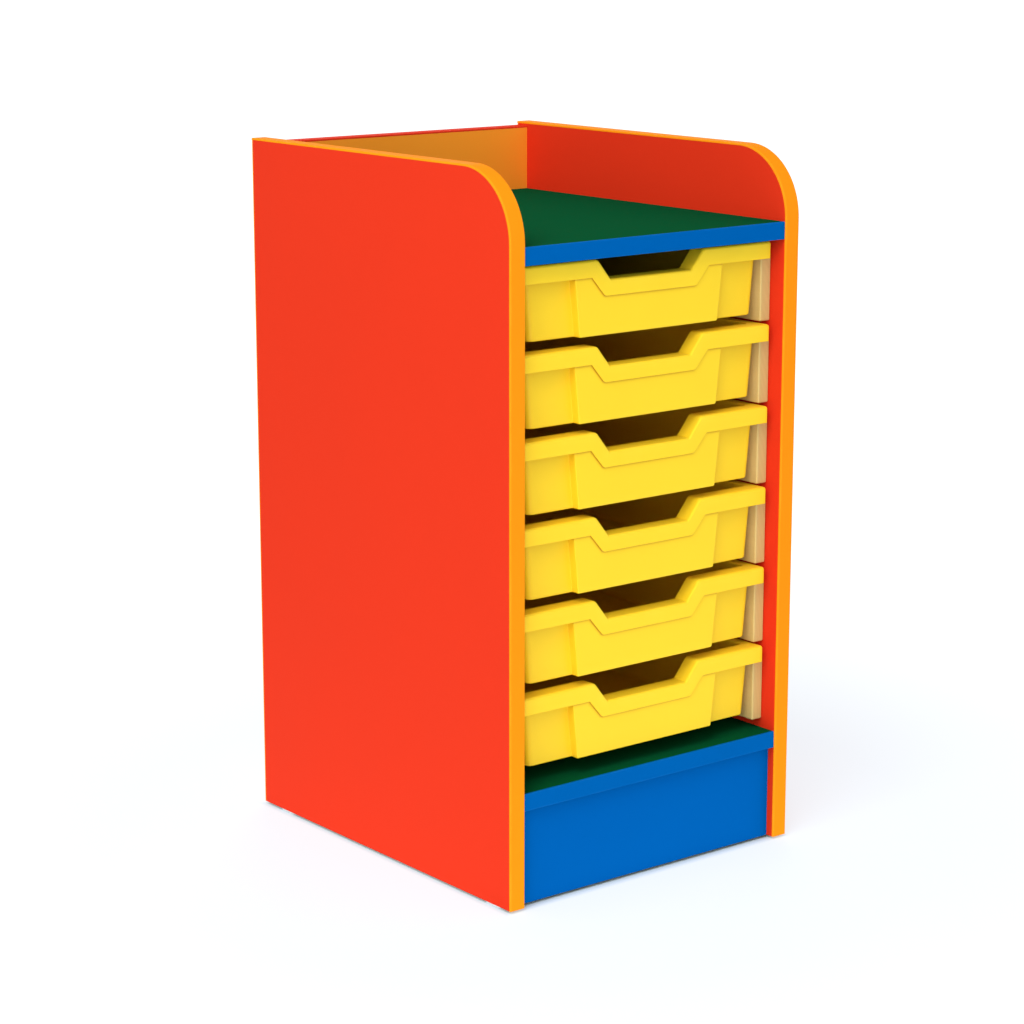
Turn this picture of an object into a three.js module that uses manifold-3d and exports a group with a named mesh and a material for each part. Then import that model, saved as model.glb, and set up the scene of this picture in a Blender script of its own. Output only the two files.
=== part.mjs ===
// Classroom tray storage unit: six shallow trays on wooden runners in a case of coloured boards.
// Millimetres, +Z up, front towards -Y, origin on the floor under the middle of the unit.
import * as THREE from 'three';
import { mergeVertices } from 'three/addons/utils/BufferGeometryUtils.js';
import Module from 'manifold-3d';

// Tray
const trayCount = 6;
const trayWidth = 322;
const trayDepth = 400;
const trayHeight = 75;
const trayWall = 3.5;
const trayFrontWall = 8;
const trayFloor = 2.5;
const trayFloorRound = 1.5;
const rimHeight = 17.5;
const rimThickness = 2.5;
const rimReach = 9;
const rimRound = 3;
const rimCornerRadius = 5;
const bodyCornerRadius = 6;
const basinCornerRadius = 5;
const bodyDraft = 7;
const frontDraft = 0.5;

// Finger notch and projecting middle of the tray front, hollow from below
const notchDepth = 20.5;
const notchLowWidth = 105;
const notchTopWidth = 138;
const notchSkirtSpread = 7;
const notchSkirtRise = 1.5;
const notchRound = 5;
const bulgeTopWidth = 196;
const bulgeBottomWidth = 180;
const bulgeDepth = 9.5;
const bulgeSetback = 1.5;
const bulgeCornerRadius = 1.5;
const bulgeWall = 2.5;

// Room round the trays
const rimSideGap = 8;
const rimSeatWidth = 6;
const rimClearance = 2.2;
const seatGap = 0.3;
const trayStackGap = 10;
const traySetback = 12.5;
const trayRearGap = 6.5;

// Case
const boardThickness = 18;
const edgeBandThickness = 2;
const sideCornerRadius = 72;
const guardHeight = 74;
const backTopDrop = 4;
const plinthHeight = 99;
const plinthSetback = 10;
const glueLine = 0.1;

// Runners
const runnerLift = 10;
const runnerSetback = 21;
const runnerRearGap = 4;
const runnerArris = 1.5;

// Fixings and feet
const screwHeadDiameter = 8;
const screwShankDiameter = 4;
const screwLength = 28;
const screwTip = 4;
const screwSink = 0.4;
const dowelDiameter = 8;
const dowelLength = 36;
const dowelChamfer = 1;
const dowelInPanel = 12;
const dowelInset = 60;
const fixingClearance = 0.3;
const glideHeight = 3;
const glideLength = 28;
const glideWidth = 14;
const glideStemDiameter = 5;
const glideStemLength = 12;
const glideFrontInset = 32;
const glideRearInset = 40;

// Smoothness of round shapes
const cornerSteps = 4;
const rimRoundSteps = 3;
const notchRoundSteps = 2;
const arcSegments = 6;
const roundSegments = 8;
const weldDistance = 1e-4;

// Colours
const red = 0xf03c24;
const amber = 0xff9d16;
const green = 0x04552f;
const blue = 0x0064b8;
const yellow = 0xffdf35;
const paleWood = 0xdcb36f;
const steel = 0xb9bcbf;
const white = 0xe9e9e4;
const beech = 0xcfa873;

// Sizes that follow from those above
const innerWidth = trayWidth + 2 * rimSideGap;
const unitDepth = traySetback + trayDepth + trayRearGap + boardThickness;
const runnerThickness = rimSideGap + rimSeatWidth;
const rimSlot = seatGap + rimHeight + rimClearance;
const runnerPitch = trayHeight + trayStackGap;
const runnerHeight = runnerPitch - rimSlot;
const bottomShelfTop = glideHeight + plinthHeight + boardThickness;
const topShelfBottom = bottomShelfTop + runnerLift + trayCount * runnerPitch;
const topShelfTop = topShelfBottom + boardThickness;
const sideTop = topShelfTop + guardHeight;
const caseFront = -unitDepth / 2;
const caseRear = unitDepth / 2;
const backFront = caseRear - boardThickness;
const innerFace = innerWidth / 2;
const shelfFront = caseFront + edgeBandThickness;
const runnerFront = caseFront + runnerSetback;
const runnerLength = backFront - runnerRearGap - runnerFront;
const runnerMiddle = runnerFront + runnerLength / 2;
const panelMiddle = innerFace + boardThickness / 2;
const sides = [
  { name: 'left', hand: -1 },
  { name: 'right', hand: 1 },
];

const wasm = await Module();
wasm.setup();

// Solids: joining and cutting

function toSolid(geometry) {
  const bare = geometry.clone();
  bare.deleteAttribute('normal');
  bare.deleteAttribute('uv');
  const welded = mergeVertices(bare, weldDistance);
  const vertProperties = Float32Array.from(welded.attributes.position.array);
  const triVerts = Uint32Array.from(welded.index.array);
  return new wasm.Manifold(new wasm.Mesh({ numProp: 3, vertProperties, triVerts }));
}

function toGeometry(solid) {
  const { vertProperties, triVerts } = solid.getMesh();
  const geometry = new THREE.BufferGeometry();
  geometry.setAttribute('position', new THREE.BufferAttribute(vertProperties, 3));
  geometry.setIndex(new THREE.BufferAttribute(triVerts, 1));
  geometry.computeVertexNormals();
  return geometry;
}

function joined(...geometries) {
  return toGeometry(geometries.map(toSolid).reduce((all, next) => all.add(next)));
}

function cut(geometry, ...cutters) {
  return toGeometry(cutters.map(toSolid).reduce((left, next) => left.subtract(next), toSolid(geometry)));
}

// Skins over rings of points, each ring counter-clockwise from above and the first one lowest

function ringFaces(rings, from, to, indices) {
  const count = rings[0].length;
  for (let i = 0; i < count; i++) {
    const next = (i + 1) % count;
    indices.push(from * count + i, from * count + next, to * count + next);
    indices.push(from * count + i, to * count + next, to * count + i);
  }
}

function skin(rings, indices) {
  const geometry = new THREE.BufferGeometry();
  geometry.setFromPoints(rings.flat());
  geometry.setIndex(indices);
  return geometry;
}

function loft(rings) {
  const indices = [];
  const count = rings[0].length;
  const lastStart = (rings.length - 1) * count;
  for (let j = 0; j + 1 < rings.length; j++) ringFaces(rings, j, j + 1, indices);
  for (let i = 1; i + 1 < count; i++) {
    indices.push(0, i + 1, i);
    indices.push(lastStart, lastStart + i, lastStart + i + 1);
  }
  return skin(rings, indices);
}

function hoop(rings) {
  const indices = [];
  rings.forEach((ring, j) => ringFaces(rings, j, (j + 1) % rings.length, indices));
  return skin(rings, indices);
}

function cornerArc(centreX, centreY, radius, startAngle, z) {
  const points = [];
  for (let step = 0; step <= cornerSteps; step++) {
    const angle = startAngle + (step / cornerSteps) * (Math.PI / 2);
    const x = centreX + radius * Math.cos(angle);
    const y = centreY + radius * Math.sin(angle);
    points.push(new THREE.Vector3(x, y, z));
  }
  return points;
}

// Rounded rectangle, symmetric in X; frontPoints go between its two front corners
function roundedRing(halfWidth, front, rear, radius, z, frontPoints = []) {
  const arcX = halfWidth - radius;
  return [
    ...cornerArc(-arcX, front + radius, radius, Math.PI, z),
    ...frontPoints,
    ...cornerArc(arcX, front + radius, radius, -Math.PI / 2, z),
    ...cornerArc(arcX, rear - radius, radius, 0, z),
    ...cornerArc(-arcX, rear - radius, radius, Math.PI / 2, z),
  ];
}

// Extrusions along X and along Y from an outline in the other two directions

function extrudeAlongX(outline, length) {
  const geometry = new THREE.ExtrudeGeometry(outline, {
    depth: length,
    bevelEnabled: false,
    curveSegments: arcSegments,
  });
  const toX = new THREE.Matrix4().makeBasis(
    new THREE.Vector3(0, 1, 0),
    new THREE.Vector3(0, 0, 1),
    new THREE.Vector3(1, 0, 0),
  );
  return geometry.applyMatrix4(toX);
}

function extrudeAlongY(outline, length) {
  const geometry = new THREE.ExtrudeGeometry(outline, { depth: length, bevelEnabled: false });
  const toY = new THREE.Matrix4().makeBasis(
    new THREE.Vector3(1, 0, 0),
    new THREE.Vector3(0, 0, 1),
    new THREE.Vector3(0, -1, 0),
  );
  return geometry.applyMatrix4(toY).translate(0, length, 0);
}

function box(x0, x1, y0, y1, z0, z1) {
  const geometry = new THREE.BoxGeometry(x1 - x0, y1 - y0, z1 - z0);
  return geometry.translate((x0 + x1) / 2, (y0 + y1) / 2, (z0 + z1) / 2);
}

function rodAlongX(diameter, length, x, y, z) {
  const rod = new THREE.CylinderGeometry(diameter / 2, diameter / 2, length, roundSegments);
  return rod.rotateZ(Math.PI / 2).translate(x, y, z);
}

// Meshes

const unit = new THREE.Group();
const boards = new THREE.Group();
const runners = new THREE.Group();
const fixings = new THREE.Group();
const feet = new THREE.Group();
const trays = new THREE.Group();
unit.add(boards, runners, fixings, feet, trays);

function addPiece(group, name, geometry, color, roughness, metalness = 0) {
  const material = new THREE.MeshStandardMaterial({ color, roughness, metalness });
  const mesh = new THREE.Mesh(geometry, material);
  mesh.name = name;
  group.add(mesh);
  return mesh;
}

// Dowels: where each one sits along Y and Z; every one has a twin on the other side

const backBottom = glideHeight;
const backTop = sideTop - backTopDrop;
const plinthFront = caseFront + plinthSetback;
const shelfDowelFront = shelfFront + dowelInset;
const shelfDowelRear = backFront - dowelInset;
const dowelPlaces = {
  topShelf: [
    { name: 'top_shelf_dowel_front', y: shelfDowelFront, z: topShelfBottom + boardThickness / 2 },
    { name: 'top_shelf_dowel_rear', y: shelfDowelRear, z: topShelfBottom + boardThickness / 2 },
  ],
  bottomShelf: [
    { name: 'bottom_shelf_dowel_front', y: shelfDowelFront, z: bottomShelfTop - boardThickness / 2 },
    { name: 'bottom_shelf_dowel_rear', y: shelfDowelRear, z: bottomShelfTop - boardThickness / 2 },
  ],
  plinth: [
    { name: 'plinth_dowel', y: plinthFront + boardThickness / 2, z: glideHeight + plinthHeight / 2 },
  ],
  back: [
    { name: 'back_panel_dowel_lower', y: backFront + boardThickness / 2, z: backBottom + dowelInset },
    { name: 'back_panel_dowel_upper', y: backFront + boardThickness / 2, z: backTop - dowelInset },
  ],
};
const dowelHoleDiameter = dowelDiameter + 2 * fixingClearance;
const dowelMiddle = innerFace + dowelInPanel - dowelLength / 2;

function dowelHoles(places, hand) {
  const length = dowelLength + 2 * fixingClearance;
  return places.map(({ y, z }) => rodAlongX(dowelHoleDiameter, length, hand * dowelMiddle, y, z));
}

function dowel() {
  const radius = dowelDiameter / 2;
  const half = dowelLength / 2;
  const profile = [
    new THREE.Vector2(0, -half),
    new THREE.Vector2(radius - dowelChamfer, -half),
    new THREE.Vector2(radius, dowelChamfer - half),
    new THREE.Vector2(radius, half - dowelChamfer),
    new THREE.Vector2(radius - dowelChamfer, half),
    new THREE.Vector2(0, half),
  ];
  return new THREE.LatheGeometry(profile, roundSegments).rotateZ(Math.PI / 2);
}

for (const { name: side, hand } of sides) {
  for (const { name, y, z } of Object.values(dowelPlaces).flat()) {
    addPiece(fixings, `${side}_${name}`, dowel(), beech, 0.8).position.set(hand * dowelMiddle, y, z);
  }
}

// Runner screws: the head lies in the runner, the shank goes on into the side panel

function runnerBottom(row) {
  return bottomShelfTop + runnerLift + (trayCount - row) * runnerPitch;
}

const runnerInnerFace = innerFace - runnerThickness;
const screwRadius = screwShankDiameter / 2;
const screwHeadRadius = screwHeadDiameter / 2;
const screwHeadDepth = screwHeadRadius - screwRadius;

// Countersunk profile about Y, head at 0 and tip upwards; grow widens it for the hole
function screwProfile(grow) {
  return [
    new THREE.Vector2(0, -grow - screwSink),
    new THREE.Vector2(screwHeadRadius + grow, -grow - screwSink),
    new THREE.Vector2(screwHeadRadius + grow, 0),
    new THREE.Vector2(screwRadius + grow, screwHeadDepth),
    new THREE.Vector2(screwRadius + grow, screwLength - screwTip + grow),
    new THREE.Vector2(0, screwLength + grow),
  ];
}

function screw() {
  const [, , ...belowHead] = screwProfile(0);
  return new THREE.LatheGeometry([new THREE.Vector2(0, 0), ...belowHead], roundSegments);
}

function screwHole(hand, z) {
  const hole = new THREE.LatheGeometry(screwProfile(fixingClearance), roundSegments);
  return hole.rotateZ(-hand * Math.PI / 2).translate(hand * (runnerInnerFace + screwSink), runnerMiddle, z);
}

function screwHeight(row) {
  return runnerBottom(row) + runnerHeight / 2;
}

const rows = Array.from({ length: trayCount }, (_, index) => index + 1);
for (const { name: side, hand } of sides) {
  for (const row of rows) {
    const mesh = addPiece(fixings, `${side}_runner_screw_${row}`, screw(), steel, 0.35, 1);
    mesh.rotation.z = -hand * Math.PI / 2;
    mesh.position.set(hand * (runnerInnerFace + screwSink), runnerMiddle, screwHeight(row));
  }
}

// Glides: a pad under the side panel with a stem pushed up into it

const glidePlaces = [
  { end: 'front', y: caseFront + glideFrontInset },
  { end: 'rear', y: caseRear - glideRearInset },
];

function stem(diameter, length) {
  const rod = new THREE.CylinderGeometry(diameter / 2, diameter / 2, length, roundSegments);
  return rod.rotateX(Math.PI / 2);
}

function glide() {
  const radius = glideWidth / 2;
  const straight = glideLength / 2 - radius;
  const outline = new THREE.Shape();
  outline.absarc(0, straight, radius, 0, Math.PI);
  outline.absarc(0, -straight, radius, Math.PI, 2 * Math.PI);
  const padHeight = glideHeight - glueLine;
  const pad = new THREE.ExtrudeGeometry(outline, {
    depth: padHeight,
    bevelEnabled: false,
    curveSegments: arcSegments,
  });
  const stemHeight = padHeight / 2 + glideStemLength;
  const post = stem(glideStemDiameter, stemHeight).translate(0, 0, padHeight / 2 + stemHeight / 2);
  return joined(pad, post);
}

for (const { name: side, hand } of sides) {
  for (const { end, y } of glidePlaces) {
    addPiece(feet, `glide_${side}_${end}`, glide(), white, 0.6).position.set(hand * panelMiddle, y, 0);
  }
}

// Side panels: one outline for the board and its edge band, inset from the outer edge

function sideEdge(path, inset, radius) {
  const front = caseFront + inset;
  const top = sideTop - inset;
  const arcY = caseFront + sideCornerRadius;
  const arcZ = sideTop - sideCornerRadius;
  path.moveTo(caseRear - inset, glideHeight);
  path.lineTo(caseRear - inset, top);
  path.lineTo(arcY, top);
  path.absarc(arcY, arcZ, radius, Math.PI / 2, Math.PI);
  path.lineTo(front, glideHeight);
  return path;
}

function sideBoard(hand) {
  const inset = edgeBandThickness + glueLine;
  const outline = sideEdge(new THREE.Shape(), inset, sideCornerRadius - inset);
  const outer = hand > 0 ? innerFace : -innerFace - boardThickness;
  const board = extrudeAlongX(outline, boardThickness).translate(outer, 0, 0);
  const stemTop = glideHeight + glideStemLength + fixingClearance;
  const glideHoles = glidePlaces.map(({ y }) => {
    const hole = stem(glideStemDiameter + 2 * fixingClearance, stemTop);
    return hole.translate(hand * panelMiddle, y, stemTop / 2);
  });
  const screwHoles = rows.map((row) => screwHole(hand, screwHeight(row)));
  return cut(board, ...dowelHoles(Object.values(dowelPlaces).flat(), hand), ...screwHoles, ...glideHoles);
}

function sideBand(hand) {
  const outer = sideEdge(new THREE.Path(), 0, sideCornerRadius).getPoints(arcSegments);
  const innerRadius = sideCornerRadius - edgeBandThickness;
  const inner = sideEdge(new THREE.Path(), edgeBandThickness, innerRadius).getPoints(arcSegments);
  const outline = new THREE.Shape([...outer, ...inner.reverse()]);
  const outerFace = hand > 0 ? innerFace : -innerFace - boardThickness;
  return extrudeAlongX(outline, boardThickness).translate(outerFace, 0, 0);
}

for (const { name: side, hand } of sides) {
  addPiece(boards, `${side}_side_panel`, sideBoard(hand), red, 0.5);
  addPiece(boards, `${side}_side_edge_band`, sideBand(hand), amber, 0.45);
}

// Boards between the sides

const boardEnd = innerFace - glueLine;

function acrossBoard(y0, y1, z0, z1, dowels) {
  const board = box(-boardEnd, boardEnd, y0, y1, z0, z1);
  return cut(board, ...sides.flatMap(({ hand }) => dowelHoles(dowels, hand)));
}

function addShelf(name, bottom, dowels) {
  const bandRear = shelfFront + edgeBandThickness;
  const rear = backFront - glueLine;
  const board = acrossBoard(bandRear + glueLine, rear, bottom, bottom + boardThickness, dowels);
  const band = box(-boardEnd, boardEnd, shelfFront, bandRear, bottom, bottom + boardThickness);
  addPiece(boards, name, board, green, 0.5);
  addPiece(boards, `${name}_edge_band`, band, blue, 0.45);
}

addShelf('top_shelf', topShelfBottom, dowelPlaces.topShelf);
addShelf('bottom_shelf', bottomShelfTop - boardThickness, dowelPlaces.bottomShelf);

const plinthTop = bottomShelfTop - boardThickness - glueLine;
const plinthRear = plinthFront + boardThickness;
const plinthBoard = acrossBoard(plinthFront, plinthRear, glideHeight, plinthTop, dowelPlaces.plinth);
addPiece(boards, 'plinth', plinthBoard, blue, 0.5);

const backBandBottom = backTop - edgeBandThickness;
const backBoard = acrossBoard(backFront, caseRear, backBottom, backBandBottom - glueLine, dowelPlaces.back);
const backBand = box(-boardEnd, boardEnd, backFront, caseRear, backBandBottom, backTop);
addPiece(boards, 'back_panel', backBoard, amber, 0.5);
addPiece(boards, 'back_panel_edge_band', backBand, red, 0.45);

// Runners: strips with eased edges, screwed and glued to the side panels

function runner(hand, row) {
  const halfThickness = (runnerThickness - glueLine) / 2;
  const halfHeight = runnerHeight / 2;
  const arcX = halfThickness - runnerArris;
  const arcZ = halfHeight - runnerArris;
  const outline = new THREE.Shape([
    new THREE.Vector2(arcX, -halfHeight),
    new THREE.Vector2(halfThickness, -arcZ),
    new THREE.Vector2(halfThickness, arcZ),
    new THREE.Vector2(arcX, halfHeight),
    new THREE.Vector2(-arcX, halfHeight),
    new THREE.Vector2(-halfThickness, arcZ),
    new THREE.Vector2(-halfThickness, -arcZ),
    new THREE.Vector2(-arcX, -halfHeight),
  ]);
  const middleX = hand * (runnerInnerFace + halfThickness);
  const strip = extrudeAlongY(outline, runnerLength);
  return cut(strip.translate(middleX, runnerFront, screwHeight(row)), screwHole(hand, screwHeight(row)));
}

for (const { name: side, hand } of sides) {
  for (const row of rows) addPiece(runners, `${side}_runner_${row}`, runner(hand, row), paleWood, 0.6);
}

// Tray, in its own frame: X about its middle, Y from the front of its rim, Z from its underside

const rimHalfWidth = trayWidth / 2;
const bodyHalfWidth = rimHalfWidth - rimReach;
const bulgeFront = bulgeSetback;
const bodyFront = bulgeFront + bulgeDepth;
const bodyRear = trayDepth - rimReach;
const bodyTop = trayHeight - rimThickness / 2;
const basinFront = bodyFront + trayFrontWall;

// How far the walls lean in at height z
function lean(draft, z) {
  return draft * (1 - z / trayHeight);
}

function bodyRing(z, inset) {
  const side = lean(bodyDraft, z) + inset;
  const front = bodyFront + lean(frontDraft, z) + inset;
  return roundedRing(bodyHalfWidth - side, front, bodyRear - side, bodyCornerRadius, z);
}

function basinRing(z, inset) {
  const side = lean(bodyDraft, z) + trayWall + inset;
  const front = basinFront + lean(frontDraft, z) + inset;
  return roundedRing(bodyHalfWidth - side, front, bodyRear - side, basinCornerRadius, z);
}

function bulgeRing(z, inset, rear = basinFront - trayWall, radius = bulgeCornerRadius) {
  const halfWidth = THREE.MathUtils.lerp(bulgeBottomWidth, bulgeTopWidth, z / trayHeight) / 2;
  const front = bulgeFront + lean(frontDraft, z);
  return roundedRing(halfWidth - inset, front + inset, rear, radius, z);
}

function shell(ringAt, bottom, top) {
  const rounded = bottom + trayFloorRound;
  return loft([ringAt(bottom, trayFloorRound), ringAt(rounded, 0), ringAt(top, 0)]);
}

// Hollow of the projecting middle, open below and closed by the lip of the notch
function bulgeHollow() {
  const top = trayHeight - notchDepth - rimThickness;
  const rear = basinFront - bulgeWall;
  return loft([-trayFloor, top].map((z) => bulgeRing(z, bulgeWall, rear, bulgeWall)));
}

// Points of one fillet of the notch, as [x, z], from one tangent point to the other
function notchFillet(before, corner, after) {
  const curve = new THREE.QuadraticBezierCurve(
    corner.clone().add(before.clone().sub(corner).setLength(notchRound / 2)),
    corner,
    corner.clone().add(after.clone().sub(corner).setLength(notchRound / 2)),
  );
  return curve.getPoints(notchRoundSteps);
}

// Line of the notch at a level from 0, the rim's top, to 1, the lower edge of its skirt
function notchLine(level) {
  const spread = level * notchSkirtSpread;
  const lower = notchLowWidth / 2 + spread;
  const upper = notchTopWidth / 2 + spread;
  const z = trayHeight - level * rimHeight;
  const lowZ = z - notchDepth + level * notchSkirtRise;
  const outside = new THREE.Vector2(upper + notchRound, z);
  const rimEnd = new THREE.Vector2(upper, z);
  const lowEnd = new THREE.Vector2(lower, lowZ);
  const middle = new THREE.Vector2(0, lowZ);
  const right = [...notchFillet(middle, lowEnd, rimEnd), ...notchFillet(lowEnd, rimEnd, outside)];
  const left = right.map((point) => new THREE.Vector2(-point.x, point.y)).reverse();
  return [...left, ...right];
}

function rimRing(inset, drop, radius) {
  const z = trayHeight - drop;
  const dip = notchLine(drop / rimHeight).map((point) => new THREE.Vector3(point.x, inset, point.y));
  return roundedRing(rimHalfWidth - inset, inset, trayDepth - inset, radius, z, dip);
}

// Rim: a rounded top, a skirt hanging from its outer edge and a flange that runs in to the walls
function rim() {
  const flangeInset = Math.max(rimReach + trayWall, basinFront) + basinCornerRadius;
  const innerSkirt = Math.max(rimCornerRadius - rimThickness, rimThickness);
  const rings = [rimRing(0, rimHeight, rimCornerRadius)];
  for (let step = 0; step <= rimRoundSteps; step++) {
    const angle = (step / rimRoundSteps) * (Math.PI / 2);
    const inset = rimRound * (1 - Math.cos(angle));
    const corner = Math.max(rimCornerRadius - inset, rimThickness);
    rings.push(rimRing(inset, rimRound * (1 - Math.sin(angle)), corner));
  }
  rings.push(rimRing(flangeInset, 0, basinCornerRadius));
  rings.push(rimRing(flangeInset, rimThickness, basinCornerRadius));
  rings.push(rimRing(rimThickness, rimThickness, innerSkirt));
  rings.push(rimRing(rimThickness, rimHeight, innerSkirt));
  return hoop(rings);
}

// Everything of the front wall that stands above the dipped rim
function notchCutter() {
  const line = notchLine(0).map((point) => new THREE.Vector2(point.x, point.y - rimThickness / 2));
  const above = trayHeight + rimThickness;
  const first = new THREE.Vector2(line[0].x, above);
  const last = new THREE.Vector2(line[line.length - 1].x, above);
  return extrudeAlongY(new THREE.Shape([first, ...line, last]), basinFront + basinCornerRadius);
}

function tray() {
  const outside = joined(shell(bodyRing, 0, bodyTop), shell(bulgeRing, 0, bodyTop));
  const walls = cut(outside, notchCutter());
  const basin = shell(basinRing, trayFloor, trayHeight + rimThickness);
  return cut(joined(walls, rim()), basin, bulgeHollow());
}

for (const row of rows) {
  const mesh = addPiece(trays, `tray_${row}`, tray(), yellow, 0.4);
  const rimSeat = runnerBottom(row) + runnerHeight + seatGap;
  mesh.position.set(0, caseFront + traySetback, rimSeat + rimHeight - trayHeight);
}

export default unit;
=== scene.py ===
import math

import bmesh
import bpy
from mathutils import Matrix, Vector


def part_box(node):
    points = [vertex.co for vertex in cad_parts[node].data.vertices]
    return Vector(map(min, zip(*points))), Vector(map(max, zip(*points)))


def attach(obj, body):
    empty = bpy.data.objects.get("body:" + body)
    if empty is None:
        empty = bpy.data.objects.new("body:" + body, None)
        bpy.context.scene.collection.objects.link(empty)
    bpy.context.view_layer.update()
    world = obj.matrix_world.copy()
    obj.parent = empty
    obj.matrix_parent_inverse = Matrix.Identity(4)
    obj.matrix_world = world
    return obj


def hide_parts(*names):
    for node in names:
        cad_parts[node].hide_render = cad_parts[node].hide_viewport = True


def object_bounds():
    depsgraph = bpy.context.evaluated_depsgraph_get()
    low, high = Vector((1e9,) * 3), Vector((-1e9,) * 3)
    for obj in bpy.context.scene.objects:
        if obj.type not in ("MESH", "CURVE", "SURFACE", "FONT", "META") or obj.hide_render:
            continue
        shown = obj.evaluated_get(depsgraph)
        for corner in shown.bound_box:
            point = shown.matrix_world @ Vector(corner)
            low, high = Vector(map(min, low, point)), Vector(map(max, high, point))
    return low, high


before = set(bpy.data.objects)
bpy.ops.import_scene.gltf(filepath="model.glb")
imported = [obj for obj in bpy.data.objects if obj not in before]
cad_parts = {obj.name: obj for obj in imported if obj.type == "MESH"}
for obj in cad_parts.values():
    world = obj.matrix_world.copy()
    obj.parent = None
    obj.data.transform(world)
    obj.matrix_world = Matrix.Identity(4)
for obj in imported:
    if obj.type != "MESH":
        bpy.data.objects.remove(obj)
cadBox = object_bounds()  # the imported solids, before anything is dressed
scene = bpy.context.scene
scene.view_settings.view_transform = "Standard"
mm = 0.001
sides = {"left": -1, "right": 1}
trayRows = range(1, 7)  # counted from the top
print("frame loaded:", len(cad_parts), "solids")


# camera

photoView = {
    "place": (-1.7703, -2.2164, 0.9794),  # metres: front left, a little above the top
    "yaw": 0.6707,
    "pitch": 0.2209,
    "focalPixels": 2743.2,
    "imagePixels": 1024,
    "sensorWidth": 36.0,
}


def addCamera(spec):
    data = bpy.data.cameras.new("photo_camera")
    data.sensor_width = spec["sensorWidth"]
    data.lens = spec["focalPixels"] / spec["imagePixels"] * spec["sensorWidth"]
    camera = bpy.data.objects.new("photo_camera", data)
    level = math.cos(spec["pitch"])
    ahead = Vector((math.sin(spec["yaw"]) * level, math.cos(spec["yaw"]) * level, -math.sin(spec["pitch"])))
    camera.location = spec["place"]
    camera.rotation_euler = ahead.to_track_quat("-Z", "Y").to_euler()
    scene.collection.objects.link(camera)
    scene.camera = camera


addCamera(photoView)


# node trees

def addNode(tree, kind, inputs=None, **settings):
    made = tree.nodes.new(kind)
    for key, value in settings.items():
        setattr(made, key, value)
    for key, value in (inputs or {}).items():
        if isinstance(value, bpy.types.NodeSocket):
            tree.links.new(value, made.inputs[key])
        else:
            made.inputs[key].default_value = value
    return made


def newGroup(name, inputs, outputs):
    tree = bpy.data.node_groups.new(name, "ShaderNodeTree")
    kinds = {float: "NodeSocketFloat", tuple: "NodeSocketColor"}
    for label, value in inputs.items():
        socket = tree.interface.new_socket(label, in_out="INPUT", socket_type=kinds[type(value)])
        socket.default_value = value
    for label, kind in outputs.items():
        tree.interface.new_socket(label, in_out="OUTPUT", socket_type=kinds[kind])
    entry = addNode(tree, "NodeGroupInput").outputs
    leave = addNode(tree, "NodeGroupOutput").inputs
    return tree, entry, leave


def noise(tree, place, scale, detail=2.0, rough=0.5):
    inputs = {"Vector": place, "Scale": scale, "Detail": detail, "Roughness": rough}
    return addNode(tree, "ShaderNodeTexNoise", inputs).outputs["Fac"]


def math2(tree, operation, a, b):
    return addNode(tree, "ShaderNodeMath", {0: a, 1: b}, operation=operation).outputs["Value"]


def ranged(tree, value, low, high, toLow, toHigh):
    inputs = {"Value": value, "From Min": low, "From Max": high, "To Min": toLow, "To Max": toHigh}
    return addNode(tree, "ShaderNodeMapRange", inputs).outputs["Result"]


def around(tree, value, middle, swing):  # a noise value turned into middle plus or minus swing
    centred = math2(tree, "SUBTRACT", value, 0.5)
    swung = math2(tree, "MULTIPLY", centred, math2(tree, "MULTIPLY", swing, 2.0))
    return math2(tree, "ADD", swung, middle)


def blendColour(tree, factor, first, second, mode="MIX"):
    made = addNode(tree, "ShaderNodeMix", data_type="RGBA", blend_type=mode)
    for index, value in ((0, factor), (6, first), (7, second)):
        if isinstance(value, bpy.types.NodeSocket):
            tree.links.new(value, made.inputs[index])
        else:
            made.inputs[index].default_value = value
    return made.outputs[2]


def objectPlace(tree, scale=(1.0, 1.0, 1.0)):
    place = addNode(tree, "ShaderNodeTexCoord").outputs["Object"]
    return addNode(tree, "ShaderNodeMapping", {"Vector": place, "Scale": scale}).outputs["Vector"]


def facedBoardGroup():  # pressed film on board: soft clouds, fine specks and a pearl grain
    inputs = {"Colour": (1.0, 1.0, 1.0, 1.0), "Mottle": 0.03, "Roughness": 0.5, "Unevenness": 0.05}
    tree, entry, leave = newGroup("facedBoard", inputs, {"Colour": tuple, "Roughness": float, "Height": float})
    place = objectPlace(tree)
    clouds = noise(tree, place, 9.0, 3.0)
    specks = noise(tree, place, 520.0, 1.0)
    pearl = noise(tree, place, 1400.0, 1.0)
    peel = noise(tree, place, 160.0, 2.0)
    tone = math2(tree, "ADD", math2(tree, "MULTIPLY", clouds, 0.6), math2(tree, "MULTIPLY", specks, 0.4))
    value = around(tree, tone, 1.0, entry["Mottle"])
    shade = addNode(tree, "ShaderNodeHueSaturation", {"Color": entry["Colour"], "Value": value})
    tree.links.new(shade.outputs["Color"], leave["Colour"])
    tree.links.new(around(tree, clouds, entry["Roughness"], entry["Unevenness"]), leave["Roughness"])
    height = math2(tree, "ADD", math2(tree, "MULTIPLY", pearl, 0.7), math2(tree, "MULTIPLY", peel, 0.3))
    tree.links.new(height, leave["Height"])
    return tree


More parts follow.
